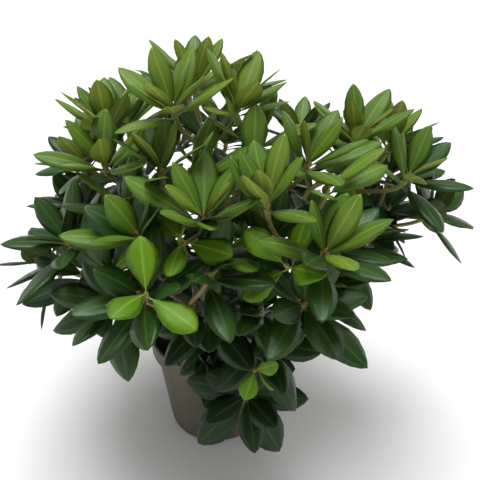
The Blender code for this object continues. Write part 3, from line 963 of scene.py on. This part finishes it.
def ribMesh(item):
    # A four-sided stalk that runs on as the midrib, r(u) falling in two straight stretches.
    stalk = blade["stalk"]
    places = np.array([0, 0.5 * stalk, stalk, *blade["ribPlaces"]])
    line, side, rise = midline(item, places[None, :, None, None])
    thick, thin, tip = blade["stalkRadius"], blade["ribRadius"], blade["ribTip"]
    stretches = [0, blade["thickEnd"] * stalk, stalk + blade["thinStart"], places[-1]]
    radii = np.interp(places, stretches, [thick, thick, thin, tip])[None, :, None, None]
    angle = (math.pi / 4 + circle(4))[None, None, :, None]
    scale = np.clip(item["length"] / whorlKinds["tip"][1], *blade["sizes"])
    ring = radii * scale * (np.cos(angle) * side + np.sin(angle) * rise)
    points = (line + ring).reshape(len(item["root"]), -1, 3)
    ends = [np.arange(4), points.shape[1] - 1 - np.arange(4)]
    quads = np.concatenate([gridFaces(len(places), 4, True)[:, ::-1], ends])
    return points.reshape(-1, 3), [repeated(quads, *points.shape[:2])]


def buildLeaves(leaves):
    # One piece for each kind of leaf, then the stalks and midribs of the dark and the pale kinds.
    ribs = {"pale": [], "dark": []}
    for number, (kind, grown) in enumerate(leaves.items()):
        like = kind if kind == "lime" else "usual"
        item = asArrays(grown, blade["seed"] + number, blade["waves"][like], blade["twist"])
        points, faces, slots, own = bladeMesh(item, blade["widest"][like], blade["rows"])
        paints = [leafPaint(kind), undersidePaint(kind)]
        dress(makePiece(f"leaves_{kind}", points, faces, paints, own, slots), "foliage", *foliage)
        # Stalks of the deep and dark kinds take the dark colours: painted shade.
        ribs["dark" if kind in ("deep", "dark") else "pale"].append(ribMesh(item))
        print(f"leaves_{kind}", len(grown))
    for kind, shapes in ribs.items():
        piece = makePiece(f"stalks_{kind}", *joinMeshes(shapes), [ribPaint(kind)])
        dress(piece, "foliage", *foliage)


# Green shoots, buds and spurs

shoot = {
    "olive": (0.190, 0.215, 0.035),
    "brown": (0.210, 0.135, 0.040),
    "sides": 10,
    "rings": 14,
    "stemRings": 10,
    "stemTip": 1.12,  # thickness of the stem at its fork, in shoots
    "sink": 0.004,  # how far a stem or spur runs into what it joins
    "swelling": 0.35,
    "swellPlace": (0.93, 0.10),
    "base": 0.12,
    "baseLength": 0.05,
    "spurSides": 8,
    "spurRings": 6,
    "spurTaper": (1.25, 1.1),
}
bud = {
    "green": (0.250, 0.290, 0.070),
    "brown": (0.370, 0.215, 0.060),
    "scales": 9,
    "rows": 3,
    "length": 0.0150,
    "shortest": 0.72,
    "width": 0.0078,
    "widest": 0.42,
    "radius": 0.0034,
    "narrowing": 0.65,
    "heights": (0.004, 0.005),  # of the lowest scale, and from there to the highest
    "lean": (0.62, 0.50),  # of the lowest scale, and how much straighter the highest stands
    "bend": (0.95, 0.45),
    "waves": 0.04,
    "twist": 0.09,
    "small": 0.6,  # size of a bud on a spur or young shoot
    "seed": 77,
}


def shootPaint():
    # This year's and last year's wood: yellow-olive, browner in patches.
    paint = Paint("green_shoot")
    where = paint.place()
    drift = paint.band(paint.noise(where, 22.0, 3.0), 0.35, 0.72)
    grain = paint.noise(where, 420.0, 3.0, 0.6)
    colour = paint.blend(drift, shoot["olive"], shoot["brown"])
    rough = paint.band(grain, 0.2, 0.8, 0.45, 0.65)
    normal = paint.bump(grain, 0.0008, 0.6)
    return paint.finish(Base_Color=colour, Roughness=rough, Normal=normal)


def budPaint():
    paint = Paint("bud_scale", Roughness=0.55)
    drift = paint.band(paint.noise(paint.place(), 60.0), 0.35, 0.65)
    return paint.finish(Base_Color=paint.blend(drift, bud["green"], bud["brown"]))


def buildShoots(limbs, whorls, twigs):
    # Stems, shoots and spurs. A shoot's radius swells by swelling exp(-((s - place) / width)^2)
    # under its whorl, and a little at its base.
    shapes = []
    place, width = shoot["swellPlace"]
    s = np.linspace(0, 1, shoot["rings"])
    swell = 1 + shoot["swelling"] * np.exp(-(((s - place) / width) ** 2))
    swell = swell + shoot["base"] * np.exp(-((s / shoot["baseLength"]) ** 2))
    count = shoot["stemRings"]
    for name, row in masses.items():
        path, radii = limbs[name]
        axis = massFrame(row)[1]
        heading = endWay(path)
        start = path[-1] - shoot["sink"] * heading
        end = whorls[name][0]["path"][0] + shoot["sink"] * axis
        taper = np.linspace(radii[-1], spray["shootRadius"] * shoot["stemTip"], count)
        shapes.append(limb(curve(start, heading, end, axis, count), taper, shoot["sides"]))
        for whorl in whorls[name]:
            facing = whorl["facing"]
            end = whorl["end"] + spray["whorlLength"] / 2 * facing
            line = curve(whorl["path"][0], whorl["way"], end, facing, shoot["rings"])
            shapes.append(limb(line, spray["shootRadius"] * swell, shoot["sides"]))
    foot, tip = (spur["radius"] * share for share in shoot["spurTaper"])
    for start, end, way in twigs:
        line = curve(start, way, end + shoot["sink"] * way, way, shoot["spurRings"])
        shapes.append(limb(line, np.linspace(foot, tip, len(line)), shoot["spurSides"]))
    dress(makePiece("green_shoots", *joinMeshes(shapes), [shootPaint()]), "bark", *foliage)


def budScales(ends):
    # Scales wind round each tip by the golden angle and close over one another.
    found = []
    for number, (end, facing, size) in enumerate(ends):
        up = across(leaning, facing)
        side = np.cross(facing, up)
        for k in range(bud["scales"]):
            share = k / (bud["scales"] - 1)
            outward = outwards(number + k * habit["turn"], up, side)
            lean = bud["lean"][0] - bud["lean"][1] * share
            forward = math.cos(lean) * facing + math.sin(lean) * outward
            normal = across(outward, forward)
            foot = end + (bud["heights"][0] + bud["heights"][1] * share) * facing * size
            root = foot + bud["radius"] * (1 - bud["narrowing"] * share) * outward * size
            length = bud["length"] * (bud["shortest"] + (1 - bud["shortest"]) * share) * size
            bend = bud["bend"][0] - bud["bend"][1] * share
            found.append((root, forward, normal, length, bud["width"] * size, bend))
    return found


def buildBuds(whorls, twigs):
    ends = [(whorl["end"], whorl["facing"], 1.0) for group in whorls.values() for whorl in group]
    ends += [(end, way, bud["small"]) for start, end, way in twigs]
    item = asArrays(budScales(ends), bud["seed"], bud["waves"], bud["twist"])
    points, faces, slots, own = bladeMesh(item, bud["widest"], bud["rows"])
    buds = makePiece("buds", points, faces, [budPaint(), budPaint()], own, slots)
    dress(buds, "foliage", *foliage)


# Trunk and boughs with the bark's relief

bark = {
    "fissure": (0.040, 0.025, 0.016),
    "brown": (0.120, 0.078, 0.048),
    "grey": (0.205, 0.165, 0.120),
    "trunkSides": 56,
    "trunkRings": 120,
    "boughSides": 22,
    "ringGap": 0.0035,
    "smoothings": 8,
    "relief": 0.0009,
    "boughRelief": 0.55,
    "flat": 0.6,  # where the relief is neither ridge nor fissure
    "wander": 1.4,
    "waves": ((3, 40, 0.5), (5, 75, 0.6), (8, 130, 0.5), (11, 210, 0.35), (2, 300, 0.2)),
    "collar": 0.0022,
    "collarLength": 0.014,
    "seed": 5,
    "boughSeed": 30,
    "crisp": 60,
}


def barkPaint():
    # Brown-grey bark with pale ridges and dark fissures that run along the limb.
    paint = Paint("bark")
    where = paint.place()
    stretch = {"Vector": where, "Scale": (1.0, 1.0, 0.28)}
    plates = {"Vector": paint.node("ShaderNodeMapping", {}, stretch), "Scale": 240.0}
    edges = paint.node("ShaderNodeTexVoronoi", {"feature": "DISTANCE_TO_EDGE"}, plates)
    ridge = paint.band(edges, 0.0, 0.16)
    fine = paint.noise(where, 260.0, 5.0, 0.65)
    drift = paint.band(paint.noise(where, 18.0, 3.0), 0.35, 0.7)
    colour = paint.blend(ridge, bark["fissure"], paint.blend(drift, bark["brown"], bark["grey"]))
    rough = paint.band(fine, 0.2, 0.8, 0.75, 0.95)
    normal = paint.bump(ridge + fine * 0.6, 0.0016, 0.8)
    return paint.finish(Base_Color=colour, Roughness=rough, Normal=normal)


def barkRelief(sides, along, seed):
    # flat - |sum of weight sin(turns angle + phase + wander sin(rate along + phase))|, whose
    # folds are the fissures.
    angle = circle(sides)[None, :]
    along = along[:, None]
    drawn = np.random.default_rng(seed)
    total = np.zeros((len(along), sides))
    for turns, rate, weight in bark["waves"]:
        phase = drawn.uniform(0, math.tau, 2)
        wander = bark["wander"] * np.sin(rate * along + phase[1])
        total = total + weight * np.sin(turns * angle + phase[0] + wander)
    return bark["flat"] - np.abs(total)


def trunkShape():
    path = resample(trunkPath(), bark["trunkRings"])
    rise = path[:, 2] - path[0, 2]
    low = rise < trunk["footHeight"]
    path[low, :2] *= (rise[low] / trunk["footHeight"])[:, None]
    sides = bark["trunkSides"]
    rough = bark["relief"] * barkRelief(sides, rise, bark["seed"])
    return limb(path, trunkRadii(rise, sides) + rough, sides)


def boughShape(path, radii, isFork, seed):
    # The solid's path and taper with more rings, rounder bends, a collar that dies away as
    # exp(-along / collarLength), and relief in proportion to the thickness.
    sides = bark["boughSides"]
    length = np.linalg.norm(np.diff(path, axis=0), axis=1).sum()
    fine = resample(path, int(length / bark["ringGap"]))
    for smoothing in range(bark["smoothings"]):
        fine[1:-1] = (fine[:-2] + 2 * fine[1:-1] + fine[2:]) / 4
    thick = resample(radii[:, None], len(fine))
    along = np.linspace(0, 1, len(fine)) * length
    collar = bark["collar"] * np.exp(-along / bark["collarLength"]) * isFork
    depth = bark["relief"] * bark["boughRelief"] * thick / bough["mainRadius"]
    rough = barkRelief(sides, along, seed) * depth
    return limb(fine, thick + collar[:, None] + rough, sides)


def buildLimbs(limbs):
    shapes = [trunkShape()]
    for number, (name, row) in enumerate(masses.items()):
        shapes.append(boughShape(*limbs[name], row[1] < 1, bark["boughSeed"] + number))
    piece = makePiece("trunk_and_boughs", *joinMeshes(shapes), [barkPaint()], sharp=bark["crisp"])
    dress(piece, "bark", "trunk", *[f"bough_{name}" for name in masses])


# Pot and compost

pot = {
    "taupe": ((0.062, 0.056, 0.032), (0.084, 0.076, 0.046)),
    "dust": (0.120, 0.110, 0.082),
    "splash": (0.040, 0.030, 0.021),
    "height": 0.200,
    "bandHeight": 0.0306,
    "bandRadius": 0.1226,
    "bandTaper": 0.0012,
    "bandWall": 1.4,  # thickness of the band in walls
    "shoulder": (-0.002, 0.0045),  # inside, the wall widens to the band between these
    "mouthRadius": 0.1178,
    "neckRadius": 0.1137,
    "baseRadius": 0.0908,
    "wall": 0.0026,
    "floor": 0.0032,
    "floorBevel": 0.006,
    "bevel": 0.007,
    "bulge": 0.0003,  # how far the rounded foot stands out from the wall
    "lip": 0.0016,
    "segments": 144,
    "holes": 5,
    "holeRadius": 0.006,
    "holeCircle": 0.070,
    "drill": (-0.01, 0.012),
    "drillSides": 20,
    "crisp": 38,
}
soil = {
    "dark": (0.010, 0.007, 0.005),
    "brown": (0.055, 0.036, 0.024),
    "edge": 0.181,
    "mound": 0.005,
    "plinth": 0.004,  # flat round the trunk's flare
    "edgeBevel": (0.0006, 0.001),
    "middle": 0.004,
    "rings": 46,
    "segments": 140,
    "lumps": 0.0026,
    "lumpStart": 0.012,
    "lumpGrowth": 0.02,
    "waves": ((60, 0.5), (110, 0.5), (190, 0.4), (330, 0.35), (560, 0.25)),
    "seed": 8,
}
crumb = {
    "count": 420,
    "size": (0.0012, 0.0042),
    "stretch": (0.45, 1.0),
    "rough": (0.75, 1.15),
    "ring": (0.028, 0.112),
    "height": 0.0006,
    "seed": 15,
}


def potPaint():
    # Matt taupe moulding with fine grain, scuffs and a little splashed soil low down.
    paint = Paint("pot_plastic")
    where = paint.place()
    grain = paint.noise(where, 520.0, 4.0, 0.6)
    cloud = paint.noise(where, 11.0, 4.0, 0.6)
    speck = paint.noise(where, 150.0, 3.0, 0.7)
    base = paint.blend(paint.band(cloud, 0.3, 0.7), *pot["taupe"])
    dusty = paint.blend(paint.band(speck, 0.55, 0.75, 0.0, 0.5), base, pot["dust"])
    splash = paint.band(paint.part(where, "Z"), 0.05, 0.0) * paint.band(speck, 0.5, 0.62)
    colour = paint.blend(splash * 0.7, dusty, pot["splash"])
    rough = paint.band(grain, 0.2, 0.8, 0.58, 0.74)
    normal = paint.bump(grain + cloud * 0.5, 0.0007, 0.5)
    return paint.finish(Base_Color=colour, Roughness=rough, Normal=normal)


def soilPaint():
    paint = Paint("compost", Roughness=0.95)
    where = paint.place()
    coarse = paint.noise(where, 120.0, 5.0, 0.7)
    fine = paint.noise(where, 600.0, 3.0, 0.7)
    colour = paint.blend(paint.band(coarse, 0.35, 0.7), soil["dark"], soil["brown"])
    return paint.finish(Base_Color=colour, Normal=paint.bump(coarse + fine * 0.5, 0.003, 0.9))


def arc(centre, radius, start, end, count):
    # Points on an arc, its angles in degrees from straight out.
    angle = np.radians(np.linspace(start, end, count))
    ways = np.stack([np.cos(angle), np.sin(angle)], axis=1)
    return np.array(centre) + radius * ways


def straight(start, end, count):
    return np.linspace(start, end, count + 1)[1:]


def turned(profile, segments, lumps=None):
    # A profile of (radius, height) points from axis to axis, spun about the Z axis.
    angle = circle(segments)
    middle = profile[1:-1]
    radius = np.broadcast_to(middle[:, :1], (len(middle), segments))
    height = np.broadcast_to(middle[:, 1:], (len(middle), segments))
    if lumps is not None:
        height = height + lumps(radius, angle[None, :], height)
    rings = np.stack([radius * np.cos(angle), radius * np.sin(angle), height], axis=-1)
    ends = [[[0, 0, point[1]]] for point in (profile[0], profile[-1])]
    points = np.concatenate([ends[0], rings.reshape(-1, 3), ends[1]])
    here = np.arange(segments)
    after = (here + 1) % segments
    last = 1 + (len(middle) - 1) * segments
    foot = np.stack([np.zeros(segments, int), 1 + after, 1 + here], axis=-1)
    head = np.stack([np.full(segments, len(points) - 1), last + here, last + after], axis=-1)
    return points, [np.concatenate([foot, head]), 1 + gridFaces(len(middle), segments, True)]


def wallRadius(height):
    share = height / (pot["height"] - pot["bandHeight"])
    return pot["baseRadius"] + (pot["neckRadius"] - pot["baseRadius"]) * share


def potInside():
    # Inner corners from the bottom up: above the floor's bevel, and below and above the shoulder.
    neck = pot["height"] - pot["bandHeight"]
    low, high = pot["shoulder"]
    band = pot["bandRadius"] - pot["bandTaper"] - pot["wall"] * pot["bandWall"]
    return np.array(
        [
            (wallRadius(pot["floor"]) - pot["wall"], pot["floor"] + pot["floorBevel"]),
            (wallRadius(neck) - pot["wall"], neck + low),
            (band, neck + high),
        ]
    )


def potProfile():
    # From the middle of the underside out, up the wall and band, over the lip and down inside.
    # The four short runs after the wall are the small step under the band.
    top, lip, bevel, floor = pot["height"], pot["lip"], pot["bevel"], pot["floor"]
    neck = top - pot["bandHeight"]
    foot, waist = wallRadius(0) - bevel, wallRadius(neck)
    outer, mouth = pot["bandRadius"], pot["mouthRadius"]
    low, middle, high = potInside()
    bottom = (low[0] - pot["floorBevel"], floor)
    return np.concatenate(
        [
            [(0, 0)],
            straight((0, 0), (foot, 0), 8),
            arc((foot + pot["bulge"], bevel), bevel, -80, 0, 7),
            straight((wallRadius(bevel), bevel), (waist, neck), 14),
            arc((waist + 0.0030, neck + 0.0010), 0.0012, -150, -90, 4),
            straight((outer - 0.0034, neck - 0.0002), (outer - 0.0016, neck + 0.0002), 2),
            arc((outer - 0.0016, neck + 0.0018), 0.0014, -90, 0, 5),
            straight((outer - 0.0002, neck + 0.002), (outer, top - lip), 6),
            arc((outer - lip, top - lip), lip, 0, 90, 6),
            arc((mouth + lip, top - lip), lip, 90, 180, 6),
            straight((mouth, top - lip), high, 4),
            straight(high, middle, 2),
            straight(middle, low, 8),
            straight(low, bottom, 2),
            straight(bottom, (0.004, floor), 6),
            [(0, floor)],
        ]
    )


def buildPot():
    points, faces = turned(potProfile(), pot["segments"])
    made = makePiece("pot_shell", points, faces, [potPaint()])
    drills = []
    for turn in math.tau * (np.arange(pot["holes"]) + 0.5) / pot["holes"]:
        x, y = pot["holeCircle"] * math.cos(turn), pot["holeCircle"] * math.sin(turn)
        line = np.array([(x, y, height) for height in pot["drill"]])
        drills.append(limb(line, [pot["holeRadius"]] * 2, pot["drillSides"]))
    cutter = makePiece("drill", *joinMeshes(drills), [])
    cut = made.modifiers.new("drains", "BOOLEAN")
    cut.operation = "DIFFERENCE"
    cut.object = cutter
    graph = bpy.context.evaluated_depsgraph_get()
    made.data = bpy.data.meshes.new_from_object(made.evaluated_get(graph))
    made.modifiers.clear()
    bpy.data.objects.remove(cutter)
    made.data.shade_smooth()
    made.data.set_sharp_from_angle(angle=math.radians(pot["crisp"]))
    dress(made, "pot", "pot")


def soilLumps(radius, angle, height):
    # The sum of weight sin(rate a) sin(0.8 rate b) along seeded ways a and b at right angles, on
    # the top only, and flat where the trunk stands.
    x = radius * np.cos(angle)
    y = radius * np.sin(angle)
    drawn = np.random.default_rng(soil["seed"])
    total = np.zeros_like(x)
    for rate, weight in soil["waves"]:
        for repeat in range(2):
            way = drawn.uniform(0, math.tau)
            phase = drawn.uniform(0, math.tau, 2)
            first = np.sin(rate * (x * math.cos(way) + y * math.sin(way)) + phase[0])
            other = np.sin(rate * 0.8 * (y * math.cos(way) - x * math.sin(way)) + phase[1])
            total = total + weight * first * other
    share = np.clip((radius - soil["lumpStart"]) / soil["lumpGrowth"], 0, 1)
    return soil["lumps"] * share * (height > soil["edge"] + 1e-6) * total


def soilHeight(radius):
    # A low mound: edge + mound (1 - (radius / mouthRadius)^2).
    return soil["edge"] + soil["mound"] * (1 - (radius / pot["mouthRadius"]) ** 2)


def buildSoil():
    # Fills the pot a hair clear of it, from the middle of its floor out, up and over the mound.
    low, middle, high = potInside()
    floor = pot["floor"] + gap
    inside = low[0] - 2 * gap
    edge = high[0] - 3 * gap
    inset, drop = soil["edgeBevel"]
    level = soilHeight(trunk["radius"] + trunk["flare"] + soil["plinth"])
    radii = np.linspace(edge - inset, soil["middle"], soil["rings"])
    profile = np.concatenate(
        [
            [(0, floor)],
            straight((0, floor), (inside - pot["floorBevel"], floor), 3),
            [(inside, low[1] + gap)],
            straight((inside, low[1]), (middle[0] - 2 * gap, middle[1]), 4),
            [(edge, high[1] + gap), (edge, soil["edge"] - drop)],
            np.stack([radii, np.minimum(soilHeight(radii) + 2e-5, level)], axis=1),
            [(0, level)],
        ]
    )
    points, faces = turned(profile, soil["segments"], soilLumps)
    dress(makePiece("compost_top", points, faces, [soilPaint()]), "compost", "soil")


def roundBall():
    # The icosahedron's corners, (0, 1, golden) with every sign and turn, and its twenty faces,
    # which join corners less than 1.2 apart.
    golden = (1 + 5**0.5) / 2
    ball = []
    for a, b in ((1, golden), (-1, golden), (1, -golden), (-1, -golden)):
        ball += [(0, a, b), (a, b, 0), (b, 0, a)]
    ball = unit(np.array(ball, float))
    near = np.linalg.norm(ball[:, None] - ball[None], axis=-1) < 1.2
    faces = []
    for i, j, k in combinations(range(len(ball)), 3):
        if near[i, j] and near[j, k] and near[i, k]:
            turn = np.dot(np.cross(ball[j] - ball[i], ball[k] - ball[i]), ball[i])
            faces.append((i, j, k) if turn > 0 else (i, k, j))
    return ball, np.array(faces)


def buildCrumbs():
    # Small twelve-cornered lumps, each pulled out of round and spun, that lie on the compost.
    drawn = np.random.default_rng(crumb["seed"])
    ball, faces = roundBall()
    count = crumb["count"]
    size = drawn.uniform(*crumb["size"], (count, 1, 1))
    stretch = drawn.uniform(*crumb["stretch"], (count, 1, 3))
    rough = drawn.uniform(*crumb["rough"], (count, len(ball), 1))
    least, most = crumb["ring"]
    radius = np.sqrt(drawn.uniform(least**2, most**2, count))
    angle = drawn.uniform(0, math.tau, count)
    height = soilHeight(radius) + crumb["height"]
    place = np.stack([radius * np.cos(angle), radius * np.sin(angle), height], axis=1)
    spin = drawn.uniform(0, math.pi, count)
    cos, sin = np.cos(spin)[:, None], np.sin(spin)[:, None]
    x, y, z = np.moveaxis(ball[None] * rough * stretch * size, -1, 0)
    spun = np.stack([x * cos - y * sin, x * sin + y * cos, z], axis=-1)
    points = (spun + place[:, None]).reshape(-1, 3)
    faces = [repeated(faces, count, len(ball))]
    dress(makePiece("compost_crumbs", points, faces, [soilPaint()]), "compost", "soil")


# Camera, floor and light

view = {
    "place": (0.046, -1.021, 0.957),
    "tilt": 61.2,  # degrees up from straight down
    "field": 40.0,  # degrees across the frame
    "sensor": 36,
    "clip": (0.05, 60),
}
studio = {
    "floorRadius": 5.0,  # flat as far as here, then a round rim rises
    "rimRadius": 3.5,
    "rimStart": -84,
    "rimRings": 15,
    "floorSides": 96,
    "floorTone": (0.81, 0.97),  # flat part, and the rim's top, which the light only grazes
    "toneRise": 0.6,  # share of the rim's height over which the tone changes
    "skyTone": 1.0,
    "skyStrength": 0.34,
    "sunFrom": (-0.03, 0.04, 1.0),
    "sunWidth": 46,  # degrees across; wide, so its shadows are soft
    "sunStrength": 3.4,
}


def floorPaint():
    paint = Paint("paper", Roughness=0.9)
    low, high = studio["floorTone"]
    height = paint.part(paint.place(), "Z")
    risen = paint.band(height, 0.0, studio["toneRise"] * studio["rimRadius"])
    return paint.finish(Base_Color=paint.blend(risen, (low,) * 3, (high,) * 3))


def buildFloor():
    # Pale paper laid like a wide bowl: a flat round floor whose rim curves up.
    flat, rise, sides = studio["floorRadius"], studio["rimRadius"], studio["floorSides"]
    rim = arc((flat, rise), rise, studio["rimStart"], 0, studio["rimRings"])
    profile = np.concatenate([[(flat, 0)], rim])
    angle = circle(sides)
    rings = profile[:, :1, None] * np.stack([np.cos(angle), np.sin(angle)], axis=-1)[None]
    heights = np.broadcast_to(profile[:, 1:, None], (len(profile), sides, 1))
    points = np.concatenate([rings, heights], axis=-1).reshape(-1, 3)
    faces = [[np.arange(sides)], gridFaces(len(profile), sides, True)[:, ::-1]]
    makePiece("paper_floor", points, faces, [floorPaint()])


def setCamera():
    lens = bpy.data.cameras.new("camera")
    lens.sensor_width = view["sensor"]
    lens.lens = view["sensor"] / 2 / math.tan(math.radians(view["field"]) / 2)
    lens.clip_start, lens.clip_end = view["clip"]
    camera = newObject("camera", lens)
    camera.location = view["place"]
    camera.rotation_euler = (math.radians(view["tilt"]), 0, 0)
    bpy.context.scene.camera = camera


def setLight():
    # An even sky, and a wide soft lamp overhead, a little to the left and towards the back.
    scene = bpy.context.scene
    scene.view_settings.view_transform = "Standard"
    world = bpy.data.worlds.new("studio")
    world.use_nodes = True
    sky = world.node_tree.nodes["Background"]
    sky.inputs["Color"].default_value = (studio["skyTone"],) * 3 + (1,)
    sky.inputs["Strength"].default_value = studio["skyStrength"]
    scene.world = world
    lamp = bpy.data.lights.new("softSun", "SUN")
    lamp.angle = math.radians(studio["sunWidth"])
    lamp.energy = studio["sunStrength"]
    x, y, z = studio["sunFrom"]
    tilt = math.atan2(math.hypot(x, y), z)
    newObject("softSun", lamp).rotation_euler = (tilt, 0, math.atan2(y, x) + math.pi / 2)


limbs, whorls, leaves, room = growCrown()
twigs = addLime(whorls, leaves, room)
twigs = addInner(limbs, leaves, room) + twigs
buildLeaves(leaves)
buildShoots(limbs, whorls, twigs)
buildBuds(whorls, twigs)
print("leaves, shoots and buds done")
buildLimbs(limbs)
print("trunk and boughs done")
buildPot()
buildSoil()
buildCrumbs()
print("pot and compost done")
buildFloor()
setCamera()
setLight()
print("studio done")
